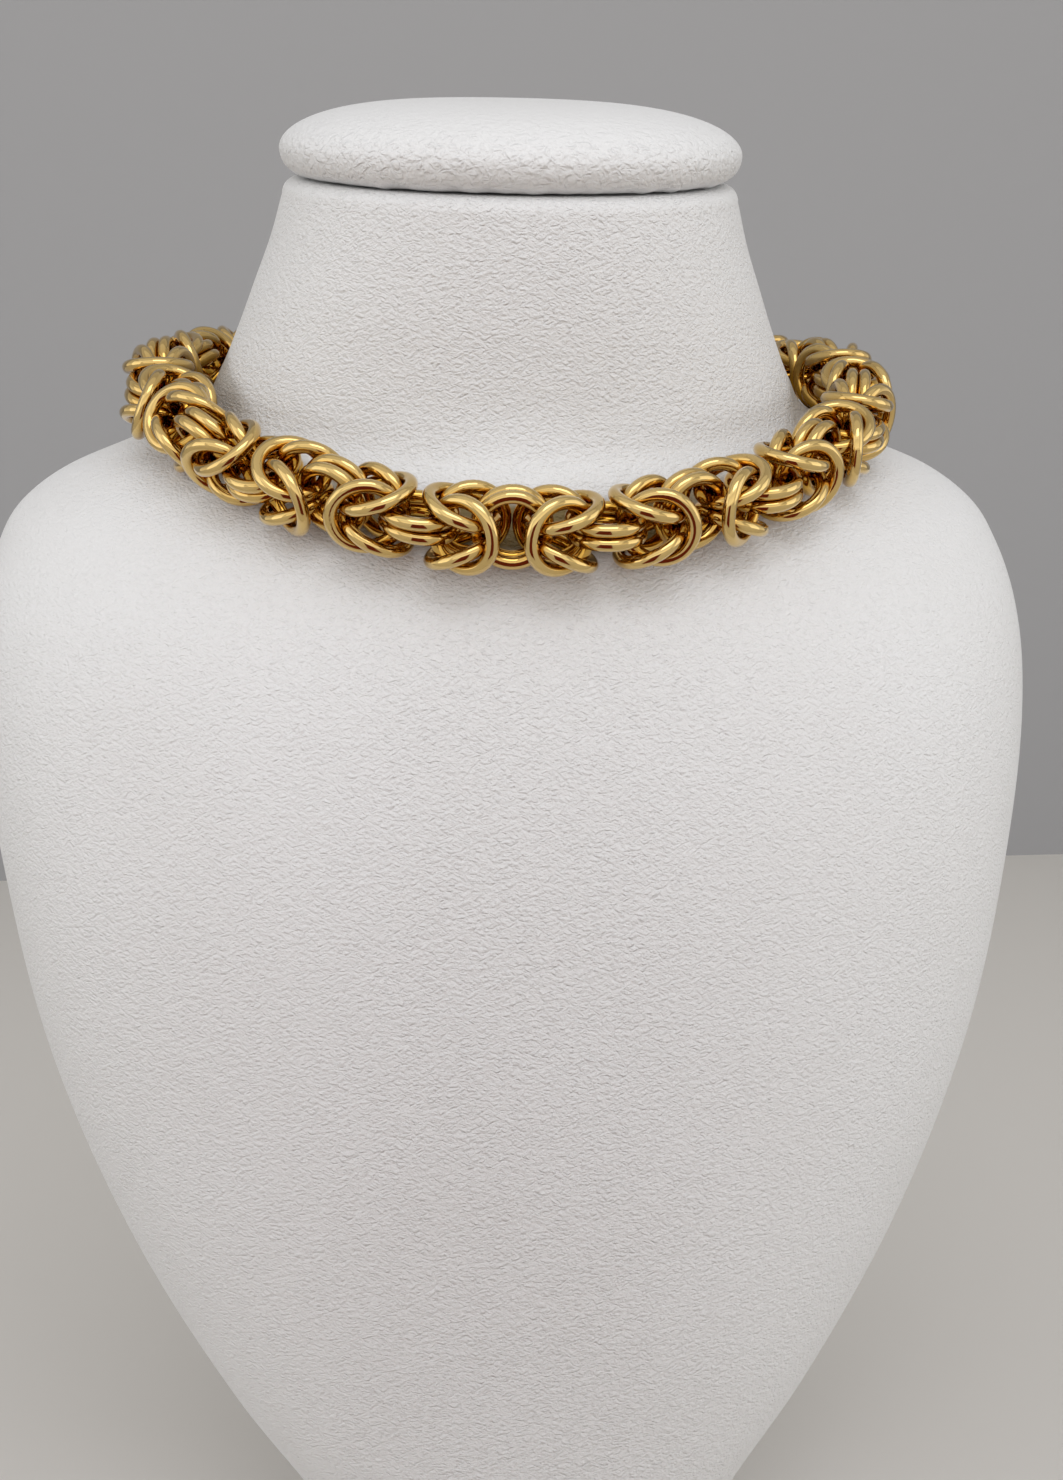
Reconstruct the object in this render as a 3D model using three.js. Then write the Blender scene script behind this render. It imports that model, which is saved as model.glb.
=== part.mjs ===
// A byzantine chain choker on a leatherette neck bust.
//
// Millimetres, +Z up, the chest faces -Y. The bust stands on its flat foot at z = 0 and the whole part is
// centred on the origin in X and Y. The neck leans forward, its round cap is square to it, and the chain
// lies round the root of the neck. The chain is one tube along its true route, with a clasp at the nape.
import * as THREE from 'three';

// ---- driving dimensions ----
const LOOP_HEIGHT = 240;       // foot to the middle of the chain's loop
const NECK_LEAN = 18.3;        // degrees that the neck's top and its cap lean forward
const EDGE_RADIUS = 3;         // rounding round the top of the neck
const EDGE_STEPS = 3;
const BUST_SEGMENTS = 44;      // faces round the bust
const ROWS_BETWEEN = 2;        // loft steps between two sections
const FIT_GAP = 0.3;           // gap between pieces that touch

const CAP_RADIUS = 44.6;
const CAP_HEIGHT = 14.3;       // at the middle of the padded top
const CAP_EDGE = 4.95;         // underside to the cap's widest line, and the rounding below that line
const CAP_SEGMENTS = 48;
const CAP_EDGE_STEPS = 4;
const CAP_TOP_STEPS = 12;

const CHAIN_RADIUS = 8.2;      // half the thickness of the weave
const CHAIN_SIDES = 12;
const CHAIN_STEPS = 72;
const LOOP_HALF_WIDTH = 70.3;  // neck axis to the chain's centre line, at the sides
const LOOP_FRONT = 70;
const LOOP_BACK = 69.5;
const LOOP_LEAN = 22.4;        // degrees that the loop leans forward
const SHOULDER_RISE = 4.4;     // how much higher the loop lies on the shoulders than its middle
const FRONT_DROP = 7.1;        // sag from the shoulders to the throat
const BACK_DROP = 16;          // sag from the shoulders to the nape
const LOOP_TILT = 0.3;         // degrees that the loop hangs lower on its +X side
const LOOP_SHIFT = 0.8;        // how far the loop lies towards +X

const CLASP = { body: 14, width: 12, thickness: 4, eye: 4.7, hole: 2.8, eyeOut: 3.3, bevel: 0.5 };

// Sections of the bust, from the foot up. z is the height of the section's widest line above the middle
// of the chain's loop and y its depth; lean turns the section forward, in degrees; half is the half
// width; front and back are the depths to each side of the widest line; square is the exponent of the
// outline, 2 for an ellipse and more for a squarer one.
const BUST_SECTIONS = [
  { z: -240, y: -6, lean: 0, half: 37, front: 39, back: 35, square: 2.3 },
  { z: -224, y: -6, lean: 0, half: 44.5, front: 43, back: 36, square: 2.3 },
  { z: -200, y: -6, lean: 0, half: 61.5, front: 48, back: 38, square: 2.3 },
  { z: -168, y: -6, lean: 0, half: 79.5, front: 53.5, back: 40, square: 2.3 },
  { z: -130, y: -5, lean: 0, half: 94.5, front: 58.5, back: 42.5, square: 2.3 },
  { z: -92, y: -4, lean: 0, half: 102.7, front: 61.5, back: 45.5, square: 2.28 },
  { z: -62, y: -2, lean: 2, half: 106.6, front: 62, back: 48, square: 2.2 },
  { z: -42, y: 0, lean: 6, half: 106.5, front: 61.5, back: 50, square: 2.05 },
  { z: -29, y: 2, lean: 9, half: 103.9, front: 60.5, back: 52, square: 1.88 },
  { z: -20, y: 3, lean: 11, half: 99.1, front: 58.8, back: 53, square: 1.76 },
  { z: -13, y: 3, lean: 13, half: 89.5, front: 56.6, back: 54.5, square: 1.68 },
  { z: -7, y: 3, lean: 15, half: 75, front: 55.1, back: 55, square: 1.74 },
  { z: -1, y: 3, lean: 17, half: 63.4, front: 52.7, back: 56, square: 1.88 },
  { z: 6, y: 1.6, lean: 18.5, half: 58.6, front: 51.1, back: 56, square: 2 },
  { z: 14, y: -2, lean: 19.5, half: 54.5, front: 49.3, back: 53.5, square: 2 },
  { z: 22, y: -5.9, lean: 20, half: 50.8, front: 47.8, back: 49.5, square: 2 },
  { z: 30.5, y: -10.2, lean: 19.2, half: 46.9, front: 45.9, back: 46.2, square: 2 },
  { z: 37.4, y: -13.75, lean: 18.3, half: 44.4, front: 44.1, back: 44.1, square: 2 },
];

const radians = THREE.MathUtils.degToRad;

const leatherette = new THREE.MeshStandardMaterial({ color: 0xe9e6e3, roughness: 0.55, metalness: 0 });
const gold = new THREE.MeshStandardMaterial({ color: 0xd9b25c, roughness: 0.18, metalness: 1 });

// A closed body through rings of equally many points, with a flat end at each side.
function loft(rings) {
  const count = rings[0].length;
  const positions = [];
  for (const ring of rings) {
    for (const point of ring) positions.push(point.x, point.y, point.z);
  }
  const middleOf = (ring) => ring.reduce((sum, p) => sum.add(p), new THREE.Vector3()).divideScalar(count);
  const first = middleOf(rings[0]);
  const last = middleOf(rings[rings.length - 1]);
  positions.push(first.x, first.y, first.z, last.x, last.y, last.z);
  const firstMiddle = rings.length * count;
  const lastMiddle = firstMiddle + 1;
  const lastRing = (rings.length - 1) * count;
  const faces = [];
  for (let i = 0; i < count; i++) {
    const next = (i + 1) % count;
    for (let row = 0; row < lastRing; row += count) {
      faces.push(row + i, row + next, row + count + next);
      faces.push(row + i, row + count + next, row + count + i);
    }
    faces.push(firstMiddle, next, i);
    faces.push(lastMiddle, lastRing + i, lastRing + next);
  }
  const geometry = new THREE.BufferGeometry();
  geometry.setAttribute('position', new THREE.Float32BufferAttribute(positions, 3));
  geometry.setIndex(faces);
  geometry.computeVertexNormals();
  return geometry;
}

// The outline of one section of the bust, as a ring of points in space.
function sectionRing(section) {
  const ring = [];
  const lean = radians(section.lean);
  const rounded = (value) => Math.sign(value) * Math.abs(value) ** (2 / section.square);
  for (let i = 0; i < BUST_SEGMENTS; i++) {
    const angle = (2 * Math.PI * i) / BUST_SEGMENTS;
    const side = section.half * rounded(Math.cos(angle));
    const depth = (Math.sin(angle) > 0 ? section.back : section.front) * rounded(Math.sin(angle));
    ring.push(new THREE.Vector3(
      side,
      section.y + depth * Math.cos(lean),
      LOOP_HEIGHT + section.z + depth * Math.sin(lean),
    ));
  }
  return ring;
}

// Every section of the table with the ones between them, each column on a smooth curve over z.
function smoothSections() {
  const columns = ['y', 'lean', 'half', 'front', 'back', 'square'];
  const heights = BUST_SECTIONS.map((section) => section.z);
  const values = BUST_SECTIONS.flatMap((section) => columns.map((column) => section[column]));
  const curve = new THREE.CubicInterpolant(heights, values, columns.length, new Float64Array(columns.length));
  const sections = [];
  for (let row = 0; row < heights.length - 1; row++) {
    for (let step = 0; step < ROWS_BETWEEN; step++) {
      const z = THREE.MathUtils.lerp(heights[row], heights[row + 1], step / ROWS_BETWEEN);
      const at = curve.evaluate(z);
      sections.push({ z, ...Object.fromEntries(columns.map((column, i) => [column, at[i]])) });
    }
  }
  sections.push(BUST_SECTIONS[BUST_SECTIONS.length - 1]);
  return sections;
}

// The direction in which the neck rises.
const neckAxis = new THREE.Vector3(0, -Math.sin(radians(NECK_LEAN)), Math.cos(radians(NECK_LEAN)));

// Foot, chest, shoulders and neck in one skin, with a rounded edge round the top of the neck.
function bustBody() {
  const sections = smoothSections();
  const rings = sections.map(sectionRing);
  const top = BUST_SECTIONS[BUST_SECTIONS.length - 1];
  for (let step = 1; step <= EDGE_STEPS; step++) {
    const turn = (Math.PI / 2) * (step / EDGE_STEPS);
    const inset = EDGE_RADIUS * (1 - Math.cos(turn));
    const rise = EDGE_RADIUS * Math.sin(turn);
    rings.push(sectionRing({
      ...top,
      z: top.z + rise * neckAxis.z,
      y: top.y + rise * neckAxis.y,
      half: top.half - inset,
      front: top.front - inset,
      back: top.back - inset,
    }));
  }
  return loft(rings);
}

// A padded disc spun about +Z, its flat underside at z = 0: rounded below its widest line, and above it
// domed, steep at the edge and nearly flat at the middle.
function neckCap() {
  const profile = [new THREE.Vector2(0, 0)];
  for (let step = 0; step < CAP_EDGE_STEPS; step++) {
    const turn = (Math.PI / 2) * (step / CAP_EDGE_STEPS);
    profile.push(new THREE.Vector2(
      CAP_RADIUS - CAP_EDGE * (1 - Math.sin(turn)),
      CAP_EDGE * (1 - Math.cos(turn)),
    ));
  }
  for (let step = 0; step < CAP_TOP_STEPS; step++) {
    const turn = (Math.PI / 2) * (step / CAP_TOP_STEPS);
    profile.push(new THREE.Vector2(
      CAP_RADIUS * Math.cos(turn) ** (2 / 3),
      CAP_EDGE + (CAP_HEIGHT - CAP_EDGE) * Math.sin(turn),
    ));
  }
  profile.push(new THREE.Vector2(0, CAP_HEIGHT));
  return new THREE.LatheGeometry(profile, CAP_SEGMENTS).rotateX(Math.PI / 2);
}

// The chain's centre line, leaning a little more than the neck: it starts beside the clasp at the nape, passes over
// the +X shoulder, the throat and the -X shoulder, and ends at the clasp's other side.
class LoopRoute extends THREE.Curve {
  constructor(claspSpan) {
    super();
    this.start = claspSpan / 2 / LOOP_BACK;
  }

  static pointAt(angle) {
    const side = Math.sin(angle);
    const back = Math.cos(angle);
    const depth = back > 0 ? LOOP_BACK : LOOP_FRONT;
    const drop = back > 0 ? BACK_DROP * back ** 1.5 : FRONT_DROP * Math.abs(back) ** 3;
    const x = LOOP_HALF_WIDTH * side;
    const rise = SHOULDER_RISE - drop - x * Math.tan(radians(LOOP_TILT));
    return new THREE.Vector3(x + LOOP_SHIFT, depth * back, rise)
      .applyAxisAngle(new THREE.Vector3(1, 0, 0), radians(LOOP_LEAN))
      .add(new THREE.Vector3(0, 0, LOOP_HEIGHT));
  }

  getPoint(t) {
    return LoopRoute.pointAt(THREE.MathUtils.lerp(this.start, 2 * Math.PI - this.start, t));
  }
}

// The woven chain as one tube of its outer thickness.
function chain(route) {
  const section = new THREE.Shape();
  for (let i = 0; i < CHAIN_SIDES; i++) {
    const angle = (2 * Math.PI * i) / CHAIN_SIDES;
    const [x, y] = [CHAIN_RADIUS * Math.cos(angle), CHAIN_RADIUS * Math.sin(angle)];
    if (i === 0) section.moveTo(x, y);
    else section.lineTo(x, y);
  }
  section.closePath();
  return new THREE.ExtrudeGeometry(section, { steps: CHAIN_STEPS, extrudePath: route, bevelEnabled: false });
}

// A plain clasp plate, tapering to an eye at each end for the chain's end links, lying in X and Y.
function clasp() {
  const { body, width, thickness, eye, hole, eyeOut, bevel } = CLASP;
  const halfBody = body / 2 - bevel;
  const halfWidth = width / 2 - bevel;
  const lobe = eye - bevel;
  const eyeAt = body / 2 + eyeOut;
  const reach = Math.hypot(eyeAt - halfBody, halfWidth);
  const taper = Math.atan2(halfWidth, eyeAt - halfBody) - Math.asin(lobe / reach);
  const swing = Math.PI / 2 - taper;
  const plate = new THREE.Shape();
  plate.moveTo(-halfBody, -halfWidth);
  plate.lineTo(halfBody, -halfWidth);
  plate.absarc(eyeAt, 0, lobe, -swing, swing, false);
  plate.lineTo(halfBody, halfWidth);
  plate.lineTo(-halfBody, halfWidth);
  plate.absarc(-eyeAt, 0, lobe, Math.PI - swing, Math.PI + swing, false);
  plate.closePath();
  for (const x of [eyeAt, -eyeAt]) {
    const opening = new THREE.Path();
    opening.absarc(x, 0, hole + bevel, 0, 2 * Math.PI, true);
    plate.holes.push(opening);
  }
  const flat = thickness - 2 * bevel;
  const geometry = new THREE.ExtrudeGeometry(plate, {
    depth: flat, bevelEnabled: true, bevelThickness: bevel, bevelSize: bevel, bevelSegments: 1, curveSegments: 8,
  });
  return geometry.translate(0, 0, -flat / 2);
}

function mesh(name, geometry, material) {
  const piece = new THREE.Mesh(geometry, material);
  piece.name = name;
  return piece;
}

const part = new THREE.Group();
part.add(mesh('bust_body', bustBody(), leatherette));

const cap = mesh('neck_cap', neckCap(), leatherette);
const neckTop = BUST_SECTIONS[BUST_SECTIONS.length - 1];
cap.position.set(0, neckTop.y, LOOP_HEIGHT + neckTop.z).addScaledVector(neckAxis, EDGE_RADIUS + FIT_GAP);
cap.rotation.x = radians(NECK_LEAN);
part.add(cap);

const claspLength = CLASP.body + 2 * (CLASP.eyeOut + CLASP.eye);
part.add(mesh('chain', chain(new LoopRoute(claspLength + 2 * FIT_GAP)), gold));

// The clasp stands on edge at the nape, its face square to the loop's radius.
const fastener = mesh('clasp', clasp(), gold);
fastener.position.copy(LoopRoute.pointAt(0));
fastener.rotation.set(radians(LOOP_LEAN - 90), 0, 0);
part.add(fastener);

// Centre the part on the origin; the foot is already at z = 0.
const middle = new THREE.Box3().setFromObject(part, true).getCenter(new THREE.Vector3());
part.position.set(-middle.x, -middle.y, 0);

export default part;
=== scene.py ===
"""A gold byzantine chain choker on a padded leatherette neck bust, dressed over its CAD frame.

Sizes are in millimetres and turned to metres by MM. The chest faces -Y and the neck leans forward.
"""
import math

import bpy
import numpy as np
from mathutils import Matrix, Vector
from mathutils.bvhtree import BVHTree


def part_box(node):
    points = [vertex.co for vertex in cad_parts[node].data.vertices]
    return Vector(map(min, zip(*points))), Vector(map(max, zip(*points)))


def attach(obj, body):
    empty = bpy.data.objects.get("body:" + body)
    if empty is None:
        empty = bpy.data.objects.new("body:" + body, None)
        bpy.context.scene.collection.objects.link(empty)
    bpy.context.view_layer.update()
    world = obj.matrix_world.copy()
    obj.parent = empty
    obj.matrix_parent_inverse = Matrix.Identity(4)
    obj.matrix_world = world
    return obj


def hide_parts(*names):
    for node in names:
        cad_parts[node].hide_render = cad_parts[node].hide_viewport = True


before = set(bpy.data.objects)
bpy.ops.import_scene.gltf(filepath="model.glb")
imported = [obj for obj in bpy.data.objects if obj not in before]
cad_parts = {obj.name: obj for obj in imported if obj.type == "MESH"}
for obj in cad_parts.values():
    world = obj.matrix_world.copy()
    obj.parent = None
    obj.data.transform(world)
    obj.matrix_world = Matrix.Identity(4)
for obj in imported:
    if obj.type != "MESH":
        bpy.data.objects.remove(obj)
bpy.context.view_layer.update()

MM = 0.001

# ---- the bust, as its maker would give it ----
LOOP_HEIGHT = 240.0        # foot to the middle of the chain's loop
NECK_LEAN = 18.3           # degrees that the neck's top and its cap lean forward
TOP_EDGE = 3.0             # rounding round the top of the neck
FOOT_EDGE = 1.6            # rounding round the foot
SKIN_COLUMNS = 176         # points round the bust
SKIN_ROWS = 8              # rows between two sections

CAP_RADIUS = 44.6
CAP_HEIGHT = 14.3          # at the middle of the padded top
CAP_EDGE = 4.95            # underside to the cap's widest line, and the rounding below that line
CAP_GAP = 0.3
CAP_COLUMNS = 360          # points round the cap
CAP_KNOTS = (232, 311)     # degrees round the cap to the small knots under its edge
CAP_SEAM_INSET = 2.4       # the cap's edge in to the line where its cover is turned in
CAP_SEAM_SPREAD = 2.6      # how far to each side of that line the cover is uneven
CAP_SEAM_WIDTH = 1.4       # and how far up from the underside
CAP_SEAM_DEPTH = 0.14      # how uneven it is
CAP_SEAM_LOWEST = -0.12    # the lowest that it hangs, well short of the neck
PAINTED_SHADE_LIFT = 4.2             # middle of the chain up to the line along which shade is painted on the skin
PAINTED_SHADE_REACH = (10.0, 11.2)   # from that line to the skin where the painted shade is full and where it ends

# Sections from the foot up: height of the widest line above the loop's middle, its depth, forward lean
# in degrees, half width, depth to the front and to the back, squareness of the outline (2 is an ellipse).
SECTIONS = [
    (-240, -6, 0, 37, 39, 35, 2.3),
    (-224, -6, 0, 44.5, 43, 36, 2.3),
    (-200, -6, 0, 61.5, 48, 38, 2.3),
    (-168, -6, 0, 79.5, 53.5, 40, 2.3),
    (-130, -5, 0, 94.5, 58.5, 42.5, 2.3),
    (-92, -4, 0, 102.7, 61.5, 45.5, 2.28),
    (-62, -2, 2, 106.6, 62, 48, 2.2),
    (-42, 0, 6, 106.5, 61.5, 50, 2.05),
    (-29, 2, 9, 103.9, 60.5, 52, 1.88),
    (-20, 3, 11, 99.1, 58.8, 53, 1.76),
    (-13, 3, 13, 89.5, 56.6, 54.5, 1.68),
    (-7, 3, 15, 75, 55.1, 55, 1.74),
    (-1, 3, 17, 63.4, 52.7, 56, 1.88),
    (6, 1.6, 18.5, 58.6, 51.1, 56, 2),
    (14, -2, 19.5, 54.5, 49.3, 53.5, 2),
    (22, -5.9, 20, 50.8, 47.8, 49.5, 2),
    (30.5, -10.2, 19.2, 46.9, 45.9, 46.2, 2),
    (37.4, -13.75, 18.3, 44.4, 44.1, 44.1, 2),
]

# ---- the chain ----
WIRE = 2.4                 # wire thickness
RING_RADIUS = 5.9          # to the middle of the wire
UNITS = 26                 # knots in the loop, each with four rings, between pairs of joining rings
LOOP_HALF_WIDTH = 70.3
LOOP_FRONT = 70.0
LOOP_BACK = 69.5
LOOP_LEAN = 22.4           # degrees that the loop leans forward
SHOULDER_RISE = 4.4
FRONT_DROP = 7.1
BACK_DROP = 16.0
LOOP_TILT = 0.3            # degrees that the loop hangs lower on its +X side
LOOP_SHIFT = 0.8           # how far the loop lies towards +X
CLASP_EYE = 10.3           # clasp's middle to the middle of each eye
SPLAY = 33                 # degrees that each ring of a knot leans away from the chain's line

# The chain has slipped round the neck: joining pair counted from the nape, and its slip along the loop.
SLIP = [(0, 0), (8, 2.4), (11, 5.1), (15, 5.3), (17, 4.9), (26, 0)]

# It is also twisted on the -X side: joining pair counted from the nape, and its extra twist in degrees.
TWIST = [(14, 0), (17, 35), (18, 50), (19, 83), (24, 180)]

# How the rings settle. Rings push, pull and turn each other a share of the way in each round.
SETTLE_ROUNDS = 420
RIM_SAMPLES = 32           # points round a ring that feel for other rings and for the bust
NEIGHBOURS = 11            # how many rings on along the chain a ring can touch
TOUCH_EVERY = 20           # rounds between two looks for the nearest skin
SKIN_CLEARANCE = 0.15
DAMPING = 0.85
PUSH_SHARE = 0.055
LONGEST_MOVE = 0.12        # of the wire's thickness, in one round
LONGEST_TURN = 0.05        # radians in one round
WEIGHT = 0.004             # downward pull, of the wire's thickness
ROLL = 0.10                # how unevenly the rings lie, in radians about one line in their own plane
LOOSE_TURN = 0.03          # and about every axis
ROUTE_PULL = 0.05          # share of the way back to the route that a joining pair is drawn
FACE_PULL = 0.02           # share by which a joining ring is turned back to its first face


# ---- small helpers ----
def linear(code):
    """An sRGB hex colour as linear red, green, blue and alpha."""
    channels = [int(code[start:start + 2], 16) / 255 for start in (1, 3, 5)]
    return tuple(c / 12.92 if c <= 0.04045 else ((c + 0.055) / 1.055) ** 2.4 for c in channels) + (1.0,)


def add_node(tree, kind, settings=None, **inputs):
    """Adds a node. settings are its properties; an input is a value or another node's output socket."""
    node = tree.nodes.new(kind)
    for name, value in (settings or {}).items():
        setattr(node, name, value)
    for name, value in inputs.items():
        key = int(name[1:]) if name[0] == "_" else name.replace("_", " ")
        socket = node.inputs[key]
        if isinstance(value, bpy.types.NodeSocket):
            tree.links.new(value, socket)
        else:
            socket.default_value = value
    return node


def unit(vector):
    return vector / np.linalg.norm(vector, axis=-1, keepdims=True)


def blend(tree, share, low, high):
    """A blend of two colours by share. Each is a hex code or another node's output socket."""
    mix = add_node(tree, "ShaderNodeMix", {"data_type": "RGBA"}, Factor=share)
    for socket, colour in ((mix.inputs[6], low), (mix.inputs[7], high)):
        if isinstance(colour, str):
            socket.default_value = linear(colour)
        else:
            tree.links.new(colour, socket)
    return mix.outputs[2]


def new_object(name, mesh):
    piece = bpy.data.objects.new(name, mesh)
    bpy.context.scene.collection.objects.link(piece)
    return piece


def mesh_piece(name, points, faces, smooth=True):
    mesh = bpy.data.meshes.new(name)
    mesh.from_pydata([tuple(p) for p in points], [], faces)
    mesh.update()
    if smooth:
        mesh.shade_smooth()
    return new_object(name, mesh)


def wrap_grid(rows, columns):
    """Faces of a skin through rows of points that each go once round, with a flat face at each end."""
    faces = []
    for row in range(rows - 1):
        for column in range(columns):
            after = (column + 1) % columns
            low = row * columns
            high = low + columns
            faces.append((low + column, low + after, high + after, high + column))
    faces.append(tuple(reversed(range(columns))))
    faces.append(tuple(range((rows - 1) * columns, rows * columns)))
    return faces


# ---- camera ----
def set_camera():
    """Stands before the chest, a little to its -X side and just below the chain, looking slightly down."""
    pitch = math.radians(5.32)
    yaw = math.radians(5.25)
    roll = math.radians(-0.53)
    ahead = Vector((math.sin(yaw) * math.cos(pitch), math.cos(yaw) * math.cos(pitch), -math.sin(pitch)))
    level = Vector((math.cos(yaw), -math.sin(yaw), 0))
    upright = level.cross(ahead)
    right = math.cos(roll) * level + math.sin(roll) * upright
    up = -math.sin(roll) * level + math.cos(roll) * upright
    data = bpy.data.cameras.new("camera")
    data.sensor_width = 36
    data.lens = 38.19
    data.clip_start = 0.01
    camera = bpy.data.objects.new("camera", data)
    bpy.context.scene.collection.objects.link(camera)
    turn = Matrix((right, up, -ahead)).transposed().to_4x4()
    place = Vector((-25.9, -331.1, 199.5)) * MM
    camera.matrix_world = Matrix.Translation(place) @ turn
    bpy.context.scene.camera = camera


set_camera()


# ---- shape of the bust ----
def smooth_sections(steps):
    """The sections with steps - 1 more between each two, every column on a smooth curve over height."""
    table = np.array(SECTIONS, float)
    heights = table[:, 0]
    slopes = np.diff(table, axis=0) / np.diff(heights)[:, None]
    tangents = np.vstack([slopes[:1], (slopes[:-1] + slopes[1:]) / 2, slopes[-1:]])
    rows = []
    for i in range(len(table) - 1):
        gap = heights[i + 1] - heights[i]
        for step in range(steps):
            t = step / steps
            rows.append(
                (2 * t**3 - 3 * t**2 + 1) * table[i]
                + (t**3 - 2 * t**2 + t) * gap * tangents[i]
                + (3 * t**2 - 2 * t**3) * table[i + 1]
                + (t**3 - t**2) * gap * tangents[i + 1]
            )
    rows.append(table[-1])
    return rows


def section_ring(section, columns):
    """The outline of one section, as points in millimetres before the part is centred."""
    height, depth, lean, half, front, back, square = section
    angle = np.arange(columns) * 2 * math.pi / columns
    across = np.sign(np.cos(angle)) * np.abs(np.cos(angle)) ** (2 / square)
    along = np.sign(np.sin(angle)) * np.abs(np.sin(angle)) ** (2 / square)
    reach = np.where(along > 0, back, front) * along
    lean = math.radians(lean)
    return np.stack([
        half * across,
        depth + reach * math.cos(lean),
        LOOP_HEIGHT + height + reach * math.sin(lean),
    ], axis=1)


def inset_section(section, inset, rise):
    """The same section, smaller by inset and moved up along its own axis by rise."""
    lean = math.radians(section[2])
    changed = np.array(section, float)
    changed[0] += rise * math.cos(lean)
    changed[1] -= rise * math.sin(lean)
    changed[3:6] -= inset
    return changed


def bust_rings():
    sections = smooth_sections(SKIN_ROWS)
    foot = sections[0]
    top = sections[-1]
    rings = []
    for step in range(4):
        turn = math.pi / 2 * step / 4
        lifted = inset_section(foot, FOOT_EDGE * (1 - math.sin(turn)), FOOT_EDGE * (1 - math.cos(turn)))
        rings.append(section_ring(lifted, SKIN_COLUMNS))
    rings += [section_ring(s, SKIN_COLUMNS) for s in sections[1:]]
    for step in range(1, 9):
        turn = math.pi / 2 * step / 8
        rounded = inset_section(top, TOP_EDGE * (1 - math.cos(turn)), TOP_EDGE * math.sin(turn))
        rings.append(section_ring(rounded, SKIN_COLUMNS))
    return rings


rings = bust_rings()
cad_low, cad_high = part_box("bust_body")
every_point = np.vstack(rings) * MM
CENTRING = (cad_low.y + cad_high.y) / 2 - (every_point[:, 1].min() + every_point[:, 1].max()) / 2
NECK_AXIS = np.array([0, -math.sin(math.radians(NECK_LEAN)), math.cos(math.radians(NECK_LEAN))])


def build_bust():
    points = every_point + np.array([0, CENTRING, 0])
    return mesh_piece("bust_skin", points, wrap_grid(len(rings), SKIN_COLUMNS))


def cap_profile():
    """Half a cut through the cap, from the middle of its underside round its edge to its top's middle."""
    flat = CAP_RADIUS - CAP_EDGE
    profile = [(flat * step / 14, 0.0) for step in range(1, 14)]
    for step in range(12):
        turn = math.pi / 2 * step / 12
        profile.append((flat + CAP_EDGE * math.sin(turn), CAP_EDGE * (1 - math.cos(turn))))
    for step in range(40):
        turn = math.pi / 2 * step / 40
        height = CAP_EDGE + (CAP_HEIGHT - CAP_EDGE) * math.sin(turn)
        profile.append((CAP_RADIUS * math.cos(turn) ** (2 / 3), height))
    return profile


def build_cap():
    """A padded disc on the neck. Its cover is turned in unevenly under the edge, with two small knots."""
    angle = np.arange(CAP_COLUMNS) * 2 * math.pi / CAP_COLUMNS
    # 44 random waves, 9 to 52 of them to the round, that come to a height of about 1 together.
    draws = np.random.default_rng(4).normal(size=(44, 2))
    waves = [a * np.cos((k + 9) * angle) + b * np.sin((k + 9) * angle) for k, (a, b) in enumerate(draws)]
    uneven = sum(waves) / 9
    # Each knot is a narrow dip, reaching about 1.3 degrees to each side.
    for knot in CAP_KNOTS:
        uneven -= 2.4 * np.exp(-((angle - math.radians(knot)) / math.radians(1.3)) ** 2)
    turn = math.radians(NECK_LEAN)
    height, depth = SECTIONS[-1][:2]
    base = np.array([0, depth, LOOP_HEIGHT + height]) + NECK_AXIS * (TOP_EDGE + CAP_GAP)
    profile = cap_profile()
    points = []
    for radius, height in profile:
        near_edge = math.exp(-((radius - CAP_RADIUS + CAP_SEAM_INSET) / CAP_SEAM_SPREAD) ** 2)
        turned_in = near_edge * math.exp(-(height / CAP_SEAM_WIDTH) ** 2)
        x = radius * np.cos(angle)
        y = radius * np.sin(angle)
        z = height + np.maximum(CAP_SEAM_DEPTH * turned_in * (uneven + 1.4), CAP_SEAM_LOWEST)
        depth = y * math.cos(turn) - z * math.sin(turn)
        points.append(np.stack([x, depth, y * math.sin(turn) + z * math.cos(turn)], 1))
    points = (np.vstack(points) + base) * MM + np.array([0, CENTRING, 0])
    return mesh_piece("padded_cap", points, wrap_grid(len(profile), CAP_COLUMNS))


bust_skin = build_bust()
padded_cap = build_cap()


# ---- the chain's route ----
def route_point(angle):
    """The chain's centre line in metres. Angle 0 is the nape and pi the throat, over the +X shoulder."""
    angle = np.asarray(angle, float)
    side = np.sin(angle)
    back = np.cos(angle)
    depth = np.where(back > 0, LOOP_BACK, LOOP_FRONT) * back
    drop = np.where(back > 0, BACK_DROP * np.abs(back) ** 1.5, FRONT_DROP * np.abs(back) ** 3)
    x = LOOP_HALF_WIDTH * side
    rise = SHOULDER_RISE - drop - x * math.tan(math.radians(LOOP_TILT))
    lean = math.radians(LOOP_LEAN)
    y = depth * math.cos(lean) - rise * math.sin(lean)
    z = depth * math.sin(lean) + rise * math.cos(lean) + LOOP_HEIGHT
    return np.stack([x + LOOP_SHIFT, y, z], axis=-1) * MM + np.array([0, CENTRING, 0])


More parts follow.
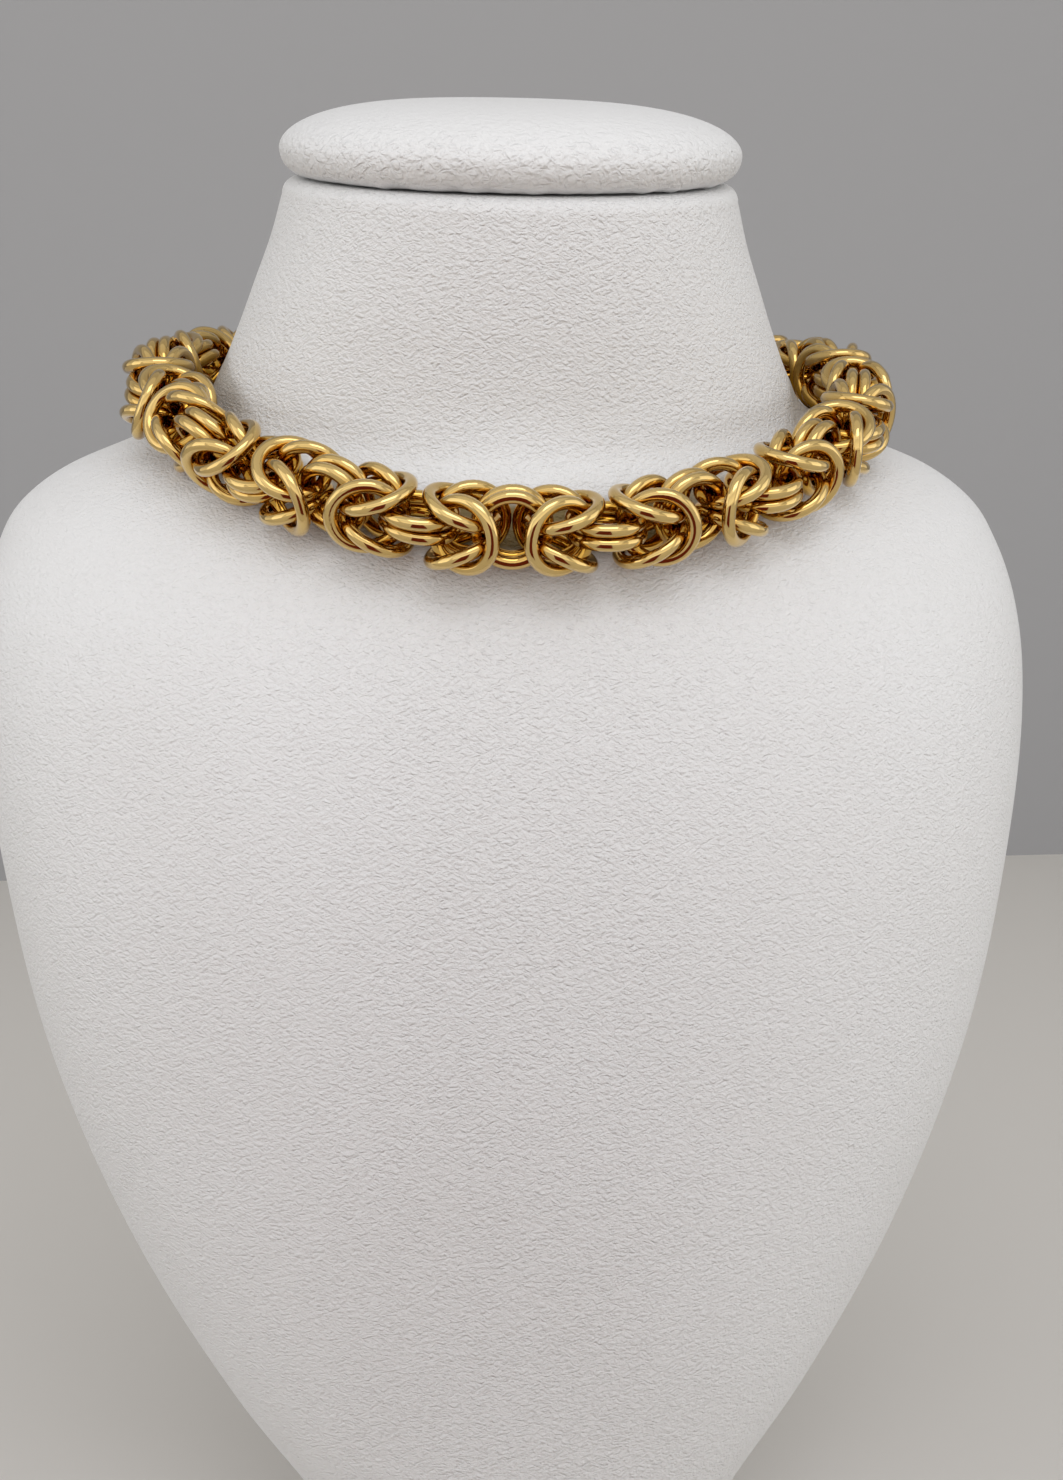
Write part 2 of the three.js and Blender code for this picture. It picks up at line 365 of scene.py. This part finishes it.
class Route:
    """Points, directions and outward directions at a length along the loop, measured from the nape."""

    def __init__(self):
        self.angles = np.linspace(0, 2 * math.pi, 4001)
        self.points = route_point(self.angles)
        steps = np.linalg.norm(np.diff(self.points, axis=0), axis=1)
        self.lengths = np.concatenate([[0], np.cumsum(steps)])
        self.length = self.lengths[-1]

    def point(self, length):
        return np.array([np.interp(length, self.lengths, self.points[:, k]) for k in range(3)])

    def at(self, length):
        place = self.point(length)
        along = unit(self.point(length + 0.5 * MM) - self.point(length - 0.5 * MM))
        centre = np.array([0, CENTRING, LOOP_HEIGHT * MM])
        lean = math.radians(LOOP_LEAN)
        upward = np.array([0, -math.sin(lean), math.cos(lean)])
        outward = place - centre
        outward -= upward * (outward @ upward)
        outward = unit(outward - along * (outward @ along))
        return place, along, outward


# ---- marks on the leatherette, and the shade painted along the chain ----
def mark(piece, name, values):
    """Gives every point of the piece a value under this name."""
    column = piece.data.attributes.new(name, "FLOAT", "POINT")
    column.data.foreach_set("value", values.astype(np.float32))


def mark_bust():
    """The embossing is flatter towards the sides and over the shoulders, and deeper low on the chest.

    A band of painted shade, tinted by the gold's reflected light, lies along the chain, a little above its
    middle and strongest in front.
    """
    skin = every_point / MM
    across = np.abs(skin[:, 0])
    sides = np.interp(across, [16, 44, 100], [1.0, 0.8, 0.9])
    levels = [0, 120, 190, 215, 240, 270, 282]
    height = np.interp(skin[:, 2], levels, [1.3, 1.2, 1.0, 0.85, 1.0, 1.0, 0.7])
    shoulder = np.exp(-((across - 88) / 24) ** 2) * np.exp(-((skin[:, 2] - 216) / 22) ** 2)
    mark(bust_skin, "relief", sides * height * (1 - 0.3 * shoulder))
    # The chain's shade on the skin is painted on, in a band lifted a little up the skin from the chain's
    # middle.
    line = Route().points[::20] / MM
    moved = skin + np.array([0, CENTRING / MM, 0])
    facing = np.array([vertex.normal for vertex in bust_skin.data.vertices])
    nearest = [np.linalg.norm(moved - point, axis=1).argmin() for point in line]
    uphill = np.array([0, 0, 1]) - facing[nearest] * facing[nearest, 2:]
    shade_band = line + PAINTED_SHADE_LIFT * uphill / np.linalg.norm(uphill, axis=1, keepdims=True)
    away = np.array([np.linalg.norm(shade_band - point, axis=1).min() for point in moved])
    in_front = np.interp(across, [25, 45], [1.0, 0.4])
    mark(bust_skin, "painted_shade_under_chain", np.interp(away, PAINTED_SHADE_REACH, [1.0, 0.0]) * in_front)


def mark_cap():
    """The embossing is deep round the edge and drawn nearly smooth over the top."""
    heights = np.array([height for _, height in cap_profile()])
    share = np.interp(heights, [0, 2, 7.5, 10.5, 13], [0.4, 1.0, 1.0, 0.45, 0.3])
    mark(padded_cap, "relief", np.repeat(share, CAP_COLUMNS))


mark_bust()
mark_cap()


def twist_of(place):
    """Quarter turns from one joining pair to the next, and the extra twist of the -X side, in radians.

    place counts the joining pairs from the nape: the pair at the throat is UNITS / 2.
    """
    quarter = math.pi / 2 * (place - UNITS / 2)
    bend = -np.radians(np.interp(place, *zip(*TWIST)))
    return quarter + bend


def lay_out_rings():
    """First place of each ring: middle, two directions in its plane, its kind, its point on the route."""
    route = Route()
    margin = (CLASP_EYE + RING_RADIUS + 0.1) * MM
    pitch = (route.length - 2 * margin) / UNITS
    slip = np.interp(np.arange(UNITS + 1), *zip(*SLIP)) * MM
    marks = margin + np.arange(UNITS + 1) * pitch + slip
    wire = WIRE * MM
    ring = RING_RADIUS * MM
    gap = pitch / 2 - ring
    splay = math.radians(SPLAY)
    middles, firsts, seconds, order, anchors = [], [], [], [], []

    def put(middle, first, second, kind, anchor):
        middles.append(middle)
        firsts.append(first)
        seconds.append(second)
        order.append(kind)
        anchors.append(anchor)

    def facing(place, length):
        point, along, outward = route.at(length)
        angle = twist_of(place)
        return point, along, math.cos(angle) * outward + math.sin(angle) * np.cross(along, outward)

    for k in range(UNITS + 1):
        point, along, face = facing(k, marks[k])
        for side in (1, -1):
            put(point + side * wire / 2 * face, along, np.cross(face, along), "joint", point)
        if k == UNITS:
            break
        half_way = (marks[k] + marks[k + 1]) / 2
        point, along, _ = route.at(half_way)
        before = facing(k, marks[k])[2]
        after = facing(k + 1, marks[k + 1])[2]
        before = unit(before - along * (before @ along))
        after = unit(after - along * (after @ along) - before * (after @ before) * 0.5)
        before = unit(before - after * (after @ before))
        for side in (1, -1):
            leg = math.cos(splay) * along + side * math.sin(splay) * after
            middle = point + along * (-gap - wire) + leg * ring + side * wire / 2 * after
            put(middle, before, leg, "held by the pair before", point)
        for side in (1, -1):
            leg = -math.cos(splay) * along + side * math.sin(splay) * before
            middle = point + along * (gap + wire) + leg * ring + side * wire / 2 * before
            put(middle, after, leg, "held by the pair after", point)
    return np.array(middles), np.array(firsts), np.array(seconds), order, np.array(anchors)


def turn_by(vectors, spin):
    """Vectors turned by a small rotation vector each."""
    angle = np.linalg.norm(spin, axis=1, keepdims=True) + 1e-12
    axis = spin / angle
    across = np.cross(axis, vectors)
    return vectors * np.cos(angle) + across * np.sin(angle) + axis * (
        (axis * vectors).sum(1, keepdims=True) * (1 - np.cos(angle)))


def settle_rings(body):
    """Lets the rings push each other a wire's thickness apart, lie on the bust and hang a little."""
    wire = WIRE * MM
    ring = RING_RADIUS * MM
    middles, firsts, seconds, order, anchors = lay_out_rings()
    count = len(middles)
    chance = np.random.default_rng(11)
    roll = unit(seconds) * chance.normal(0, ROLL, (count, 1)) + chance.normal(0, LOOSE_TURN, (count, 3))
    ends = np.array([0, 1, count - 2, count - 1])
    roll[ends] = 0
    firsts = turn_by(firsts, roll)
    seconds = turn_by(seconds, roll)
    joint = np.array([kind == "joint" for kind in order])
    first_of_pair = np.flatnonzero(joint)[::2]
    faces_at_start = np.cross(firsts, seconds)
    near = [
        (a, b)
        for a in range(count)
        for b in range(max(0, a - NEIGHBOURS), min(count, a + NEIGHBOURS + 1))
        if a != b
    ]
    mover, other = np.array(near).T
    angle = np.arange(RIM_SAMPLES) * 2 * math.pi / RIM_SAMPLES
    circle = np.stack([np.cos(angle), np.sin(angle)], axis=1)[None]
    drift = np.zeros((count, 3))
    swing = np.zeros((count, 3))
    pull_down = np.array([0, 0, -1.0]) * wire * WEIGHT
    for step in range(SETTLE_ROUNDS):
        faces = np.cross(firsts, seconds)
        spokes = circle[:, :, :1] * firsts[:, None] + circle[:, :, 1:] * seconds[:, None]
        rims = middles[:, None] + ring * spokes
        close = np.linalg.norm(middles[mover] - middles[other], axis=1) < 2 * ring + wire
        a = mover[close]
        b = other[close]
        points = rims[a]
        offset = points - middles[b][:, None]
        x = np.einsum("pkc,pc->pk", offset, firsts[b])
        y = np.einsum("pkc,pc->pk", offset, seconds[b])
        h = np.einsum("pkc,pc->pk", offset, faces[b])
        r = np.hypot(x, y) + 1e-12
        apart = np.hypot(r - ring, h) + 1e-12
        pair, spot = np.nonzero(apart < wire)
        ai = a[pair]
        bi = b[pair]
        r, apart, x, y, h = (value[pair, spot][:, None] for value in (r, apart, x, y, h))
        inward = (x * firsts[bi] + y * seconds[bi]) / r
        away = (inward * (r - ring) + h * faces[bi]) / apart
        push = (wire - apart) * away
        force = np.zeros((count, 3))
        moment = np.zeros((count, 3))
        np.add.at(force, ai, push)
        np.add.at(moment, ai, np.cross(rims[ai, spot] - middles[ai], push))
        np.add.at(force, bi, -push)
        np.add.at(moment, bi, np.cross(inward * ring, -push))
        if step % TOUCH_EVERY == 0:
            found = [body.find_nearest(Vector(p)) for p in rims.reshape(-1, 3)]
            touch_point = np.array([f[0] for f in found]).reshape(rims.shape)
            touch_face = np.array([f[1] for f in found]).reshape(rims.shape)
        clear = np.einsum("nkc,nkc->nk", rims - touch_point, touch_face)
        lift = np.maximum(wire / 2 + SKIN_CLEARANCE * MM - clear, 0)[..., None] * touch_face
        force += lift.sum(1)
        moment += np.cross(rims - middles[:, None], lift).sum(1)
        force += pull_down
        pair_middle = (middles[first_of_pair] + middles[first_of_pair + 1]) / 2
        back_to_route = (anchors[first_of_pair] - pair_middle) * ROUTE_PULL
        force[first_of_pair] += back_to_route
        force[first_of_pair + 1] += back_to_route
        turn_back = np.cross(faces, faces_at_start) * ring**2 * FACE_PULL
        moment[joint] += turn_back[joint]
        drift = DAMPING * drift + PUSH_SHARE * force
        swing = DAMPING * swing + PUSH_SHARE * moment / (0.75 * ring**2)
        drift[ends] = 0
        swing[ends] = 0
        longest = np.linalg.norm(drift, axis=1, keepdims=True)
        drift *= np.minimum(1, LONGEST_MOVE * wire / (longest + 1e-12))
        longest = np.linalg.norm(swing, axis=1, keepdims=True)
        swing *= np.minimum(1, LONGEST_TURN / (longest + 1e-12))
        middles = middles + drift
        firsts = turn_by(firsts, swing)
        seconds = turn_by(seconds, swing)
        firsts = unit(firsts)
        seconds = unit(seconds - firsts * (seconds * firsts).sum(1, keepdims=True))
    deepest = (1 - apart.min() / wire) if len(apart) else 0
    print(f"{count} rings settled, deepest overlap {deepest:.3f} of the wire, {len(apart)} contacts")
    return middles, np.cross(firsts, seconds)


def links_tree(metal):
    """Geometry Nodes: a round ring of wire on every point, square to the point's 'face' direction."""
    tree = bpy.data.node_groups.new("wire rings", "GeometryNodeTree")
    tree.interface.new_socket("Geometry", in_out="INPUT", socket_type="NodeSocketGeometry")
    for name, kind, value in (
        ("Ring radius", "NodeSocketFloat", 0.005),
        ("Wire thickness", "NodeSocketFloat", 0.002),
        ("Steps round the ring", "NodeSocketInt", 24),
        ("Steps round the wire", "NodeSocketInt", 8),
        ("Metal", "NodeSocketMaterial", None),
    ):
        socket = tree.interface.new_socket(name, in_out="INPUT", socket_type=kind)
        if value is not None:
            socket.default_value = value
    tree.interface.new_socket("Geometry", in_out="OUTPUT", socket_type="NodeSocketGeometry")
    given = tree.nodes.new("NodeGroupInput")
    ring = add_node(tree, "GeometryNodeCurvePrimitiveCircle", Radius=given.outputs["Ring radius"],
                    Resolution=given.outputs["Steps round the ring"])
    half = add_node(tree, "ShaderNodeMath", {"operation": "MULTIPLY"},
                    _0=given.outputs["Wire thickness"], _1=0.5)
    wire = add_node(tree, "GeometryNodeCurvePrimitiveCircle", Radius=half.outputs[0],
                    Resolution=given.outputs["Steps round the wire"])
    swept = add_node(tree, "GeometryNodeCurveToMesh", Curve=ring.outputs["Curve"],
                     Profile_Curve=wire.outputs["Curve"])
    face = add_node(tree, "GeometryNodeInputNamedAttribute", {"data_type": "FLOAT_VECTOR"}, Name="face")
    turned = add_node(tree, "FunctionNodeAlignRotationToVector", {"axis": "Z"},
                      Vector=face.outputs["Attribute"])
    placed = add_node(tree, "GeometryNodeInstanceOnPoints", Points=given.outputs["Geometry"],
                      Instance=swept.outputs["Mesh"], Rotation=turned.outputs["Rotation"])
    solid = add_node(tree, "GeometryNodeRealizeInstances", Geometry=placed.outputs["Instances"])
    smooth = add_node(tree, "GeometryNodeSetShadeSmooth", Geometry=solid.outputs["Geometry"])
    coloured = add_node(tree, "GeometryNodeSetMaterial", Geometry=smooth.outputs["Geometry"],
                        Material=given.outputs["Metal"])
    add_node(tree, "NodeGroupOutput", Geometry=coloured.outputs["Geometry"])
    return tree


def build_chain(metal):
    skin = bust_skin.data
    body = BVHTree.FromPolygons([v.co for v in skin.vertices], [tuple(p.vertices) for p in skin.polygons])
    middles, faces = settle_rings(body)
    seeds = bpy.data.meshes.new("ring_places")
    seeds.from_pydata([tuple(p) for p in middles], [], [])
    directions = seeds.attributes.new("face", "FLOAT_VECTOR", "POINT")
    directions.data.foreach_set("vector", faces.astype(np.float32).ravel())
    holder = new_object("ring_places", seeds)
    weave = holder.modifiers.new("wire rings", "NODES")
    weave.node_group = links_tree(metal)
    values = {
        "Ring radius": RING_RADIUS * MM,
        "Wire thickness": WIRE * MM,
        "Steps round the ring": 40,
        "Steps round the wire": 14,
        "Metal": metal,
    }
    for item in weave.node_group.interface.items_tree:
        if item.in_out == "INPUT" and item.name in values:
            weave[item.identifier] = values[item.name]
    depsgraph = bpy.context.evaluated_depsgraph_get()
    mesh = bpy.data.meshes.new_from_object(holder.evaluated_get(depsgraph), depsgraph=depsgraph)
    bpy.data.objects.remove(holder)
    mesh.name = "byzantine_links"
    return new_object("byzantine_links", mesh)


# ---- materials ----
def new_material(name):
    material = bpy.data.materials.new(name)
    material.use_nodes = True
    tree = material.node_tree
    shader = tree.nodes["Principled BSDF"]
    return material, tree, shader


def set_shader(shader, **values):
    for name, value in values.items():
        shader.inputs[name.replace("_", " ")].default_value = value


def polished_gold(name):
    """Gold-plated brass, tumbled to a mirror. Deep in the weave shade is painted in as a darker amber, and
    the lacquer coat thins out there to none.
    """
    material, tree, shader = new_material(name)
    set_shader(shader, Metallic=1.0, Coat_IOR=2.0, Coat_Roughness=0.06)
    place = add_node(tree, "ShaderNodeTexCoord").outputs["Object"]
    # Tone and haze change over patches about 11 mm wide, and faint scuffs lie about 3 mm apart.
    patches = add_node(tree, "ShaderNodeTexNoise", Vector=place, Scale=90.0, Detail=2.0, Roughness=0.5)
    tone = blend(tree, patches.outputs["Fac"], "#D8BA72", "#CDAA5E")
    # Painted shade and painted reflection: deep in the weave, where other rings hide the room, the colour
    # turns to a darker amber.
    open_to_light = add_node(tree, "ShaderNodeAmbientOcclusion", {"samples": 6}, Distance=7.0 * MM)
    exposed = add_node(tree, "ShaderNodeMapRange", Value=open_to_light.outputs["AO"],
                       From_Min=0.1, From_Max=1.0, To_Min=0.0, To_Max=1.0)
    tree.links.new(blend(tree, exposed.outputs[0], "#B8840E", tone), shader.inputs["Base Color"])
    lacquer = add_node(tree, "ShaderNodeMapRange", Value=open_to_light.outputs["AO"],
                       From_Min=0.35, From_Max=0.8, To_Min=0.0, To_Max=0.5)
    tree.links.new(lacquer.outputs[0], shader.inputs["Coat Weight"])
    haze = add_node(tree, "ShaderNodeMapRange", Value=patches.outputs["Fac"],
                    From_Min=0.3, From_Max=0.7, To_Min=0.06, To_Max=0.12)
    tree.links.new(haze.outputs[0], shader.inputs["Roughness"])
    scuffs = add_node(tree, "ShaderNodeTexNoise", Vector=place, Scale=300.0, Detail=1.0)
    bump = add_node(tree, "ShaderNodeBump", Strength=0.06, Distance=0.0002, Height=scuffs.outputs["Fac"])
    tree.links.new(bump.outputs[0], shader.inputs["Normal"])
    return material


def short_ridges(tree, place, size, lean):
    """Noise drawn out into short ridges that lean to one side, seen from the front."""
    along = add_node(tree, "ShaderNodeMapping", {"vector_type": "TEXTURE"}, Vector=place,
                     Rotation=(0, math.radians(lean), 0), Scale=tuple(length * MM for length in size))
    noise = add_node(tree, "ShaderNodeTexNoise", Vector=along.outputs[0],
                     Scale=1.0, Detail=1.0, Roughness=0.5)
    return noise.outputs["Fac"]


def leatherette(name, ridge, pebble, pebbled, relief):
    """Embossed PVC leatherette, off-white and satin: short crossing ridges over pebbles and fine grain.

    ridge and pebble are the sizes of one of each in millimetres, pebbled is how strongly the pebbles
    show among the ridges, and relief is the height of the embossing. The piece's own "relief" attribute
    says how much of it is left where the sheet is stretched, and "painted_shade_under_chain" where shade
    is painted on along the chain, tinted by the gold's reflected light.
    """
    material, tree, shader = new_material(name)
    place = add_node(tree, "ShaderNodeTexCoord").outputs["Object"]
    ridges = add_node(tree, "ShaderNodeMath", {"operation": "MINIMUM"},
                      _0=short_ridges(tree, place, ridge, 28), _1=short_ridges(tree, place, ridge, -28))
    cell = add_node(tree, "ShaderNodeMapping", {"vector_type": "TEXTURE"}, Vector=place,
                    Scale=tuple(size * MM for size in pebble))
    sway = add_node(tree, "ShaderNodeTexNoise", Vector=cell.outputs[0],
                    Scale=0.8, Detail=2.0, Roughness=0.6)
    centred = add_node(tree, "ShaderNodeVectorMath", {"operation": "SUBTRACT"},
                       _0=sway.outputs["Color"], _1=(0.5, 0.5, 0.5))
    warped = add_node(tree, "ShaderNodeVectorMath", {"operation": "MULTIPLY_ADD"},
                      _0=centred.outputs[0], _1=(1.8, 1.8, 1.8), _2=cell.outputs[0])
    network = add_node(tree, "ShaderNodeTexVoronoi", {"feature": "DISTANCE_TO_EDGE"},
                       Vector=warped.outputs[0], Scale=1.0, Randomness=1.0)
    domes = add_node(tree, "ShaderNodeMapRange", {"interpolation_type": "SMOOTHSTEP"},
                     Value=network.outputs["Distance"],
                     From_Min=0.0, From_Max=0.35, To_Min=0.0, To_Max=1.0)
    pebbles = add_node(tree, "ShaderNodeMath", {"operation": "MULTIPLY_ADD"},
                       _0=domes.outputs[0], _1=pebbled, _2=ridges.outputs[0])
    share = add_node(tree, "ShaderNodeAttribute", {"attribute_name": "relief"}).outputs["Fac"]
    embossed = add_node(tree, "ShaderNodeMath", {"operation": "MULTIPLY"},
                        _0=pebbles.outputs[0], _1=share)
    # The fine grain is drawn about 0.4 mm wide, coarser than it is, so that it shows.
    fine = add_node(tree, "ShaderNodeTexNoise", Vector=place, Scale=2300.0, Detail=2.0, Roughness=0.6)
    grain = add_node(tree, "ShaderNodeMath", {"operation": "MULTIPLY_ADD"},
                     _0=fine.outputs["Fac"], _1=0.15, _2=embossed.outputs[0])
    bump = add_node(tree, "ShaderNodeBump", Strength=1.0, Distance=relief * MM, Height=grain.outputs[0])
    tree.links.new(bump.outputs[0], shader.inputs["Normal"])
    # The sheet's tone wanders a little over about 45 mm.
    broad = add_node(tree, "ShaderNodeTexNoise", Vector=place, Scale=22.0, Detail=3.0)
    ground = blend(tree, broad.outputs["Fac"], "#E8E9EA", "#E2E2E2")
    # Painted shade: a dark olive, as shade tinted by light reflected from the gold, laid on the skin along
    # the chain.
    shade_band = add_node(tree, "ShaderNodeAttribute", {"attribute_name": "painted_shade_under_chain"}).outputs["Fac"]
    tree.links.new(blend(tree, shade_band, ground, "#75612C"), shader.inputs["Base Color"])
    set_shader(shader, Roughness=0.5, IOR=1.5)
    return material


gold = polished_gold("polished gold-plated brass")
bust_leatherette = leatherette("leatherette on the bust", (1.35, 1.2, 0.52), (1.7, 1.6, 1.1), 0.22, 0.44)
cap_leatherette = leatherette("leatherette on the cap", (1.8, 1.8, 0.85), (2.3, 2.3, 1.6), 0.45, 0.38)

byzantine_links = build_chain(gold)
bust_skin.data.materials.append(bust_leatherette)
padded_cap.data.materials.append(cap_leatherette)
for slot_number in range(len(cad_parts["clasp"].data.materials)):
    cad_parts["clasp"].data.materials[slot_number] = gold


# ---- the room ----
THROAT = (0, -0.06, 0.21)  # in metres, the point that the lamps face
LAMP_COLOUR = "#F8F9FF"
ROOM_BRIGHTNESS = 1.33
# From straight down through the horizon, at 0.5, to straight up.
ROOM_COLOURS = [(0.0, "#8C8270"), (0.47, "#DDD9D3"), (0.57, "#D2CFC9"), (0.7, "#B3B1AD"), (1.0, "#A3A19E")]


def plain_sheet(name, corners, colour):
    sheet = mesh_piece(name, corners, [(0, 1, 2, 3)], smooth=False)
    material, tree, shader = new_material(name)
    set_shader(shader, Base_Color=linear(colour), Roughness=0.85)
    sheet.data.materials.append(material)


def build_room():
    """A pale floor, a grey backdrop and, low in front, a dark red card for the gold to reflect."""
    plain_sheet("floor", [(-2, -1.6, 0), (2, -1.6, 0), (2, 0.8, 0), (-2, 0.8, 0)], "#DDDAD5")
    plain_sheet("backdrop", [(-2, 0.8, 0), (2, 0.8, 0), (2, 0.8, 1.6), (-2, 0.8, 1.6)], "#A2A2A4")
    card = [(-0.11, -0.16, 0.01), (0.05, -0.16, 0.01), (0.05, -0.38, 0.18), (-0.11, -0.38, 0.18)]
    plain_sheet("red_card", card, "#7C2408")


def soft_light(name, place, width, height, power):
    """A softbox at place, in metres, turned to the throat. power is in watts."""
    data = bpy.data.lights.new(name, "AREA")
    data.shape = "RECTANGLE"
    data.size = width
    data.size_y = height
    data.energy = power
    data.color = linear(LAMP_COLOUR)[:3]
    lamp = bpy.data.objects.new(name, data)
    bpy.context.scene.collection.objects.link(lamp)
    lamp.location = place
    lamp.rotation_euler = (Vector(THROAT) - Vector(place)).to_track_quat("-Z", "Y").to_euler()


def set_world():
    """A soft warm-white room: brightest at eye height, dimmer above and towards the floor."""
    world = bpy.data.worlds.new("studio")
    world.use_nodes = True
    tree = world.node_tree
    sky = tree.nodes["Background"]
    way = add_node(tree, "ShaderNodeTexCoord").outputs["Generated"]
    height = add_node(tree, "ShaderNodeSeparateXYZ", Vector=way).outputs["Z"]
    upward = add_node(tree, "ShaderNodeMapRange", Value=height, From_Min=-1.0, From_Max=1.0)
    band = add_node(tree, "ShaderNodeValToRGB", Fac=upward.outputs[0])
    ramp = band.color_ramp
    ramp.elements[0].color = linear(ROOM_COLOURS[0][1])
    ramp.elements[1].color = linear(ROOM_COLOURS[-1][1])
    for position, colour in ROOM_COLOURS[1:-1]:
        ramp.elements.new(position).color = linear(colour)
    tree.links.new(band.outputs["Color"], sky.inputs["Color"])
    sky.inputs["Strength"].default_value = ROOM_BRIGHTNESS
    bpy.context.scene.world = world


build_room()
set_world()
soft_light("ceiling softbox", (-0.1, -0.6, 1.15), 2.0, 1.4, 2.4)
soft_light("front softbox", (-0.1, -1.15, 0.68), 2.0, 1.15, 3.0)
soft_light("key softbox", (0.08, -0.8, 1.0), 0.7, 0.45, 2.0)
soft_light("left softbox", (-1.1, -0.45, 0.45), 0.7, 1.0, 1.7)
soft_light("right softbox", (1.1, -0.45, 0.45), 0.7, 1.0, 1.7)
bpy.context.scene.view_settings.view_transform = "Standard"

# ---- what rides on what ----
for piece, node, finish in (
    (bust_skin, "bust_body", "leatherette"),
    (padded_cap, "neck_cap", "leatherette"),
    (byzantine_links, "chain", "gold"),
):
    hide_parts(node)
    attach(piece, "root")
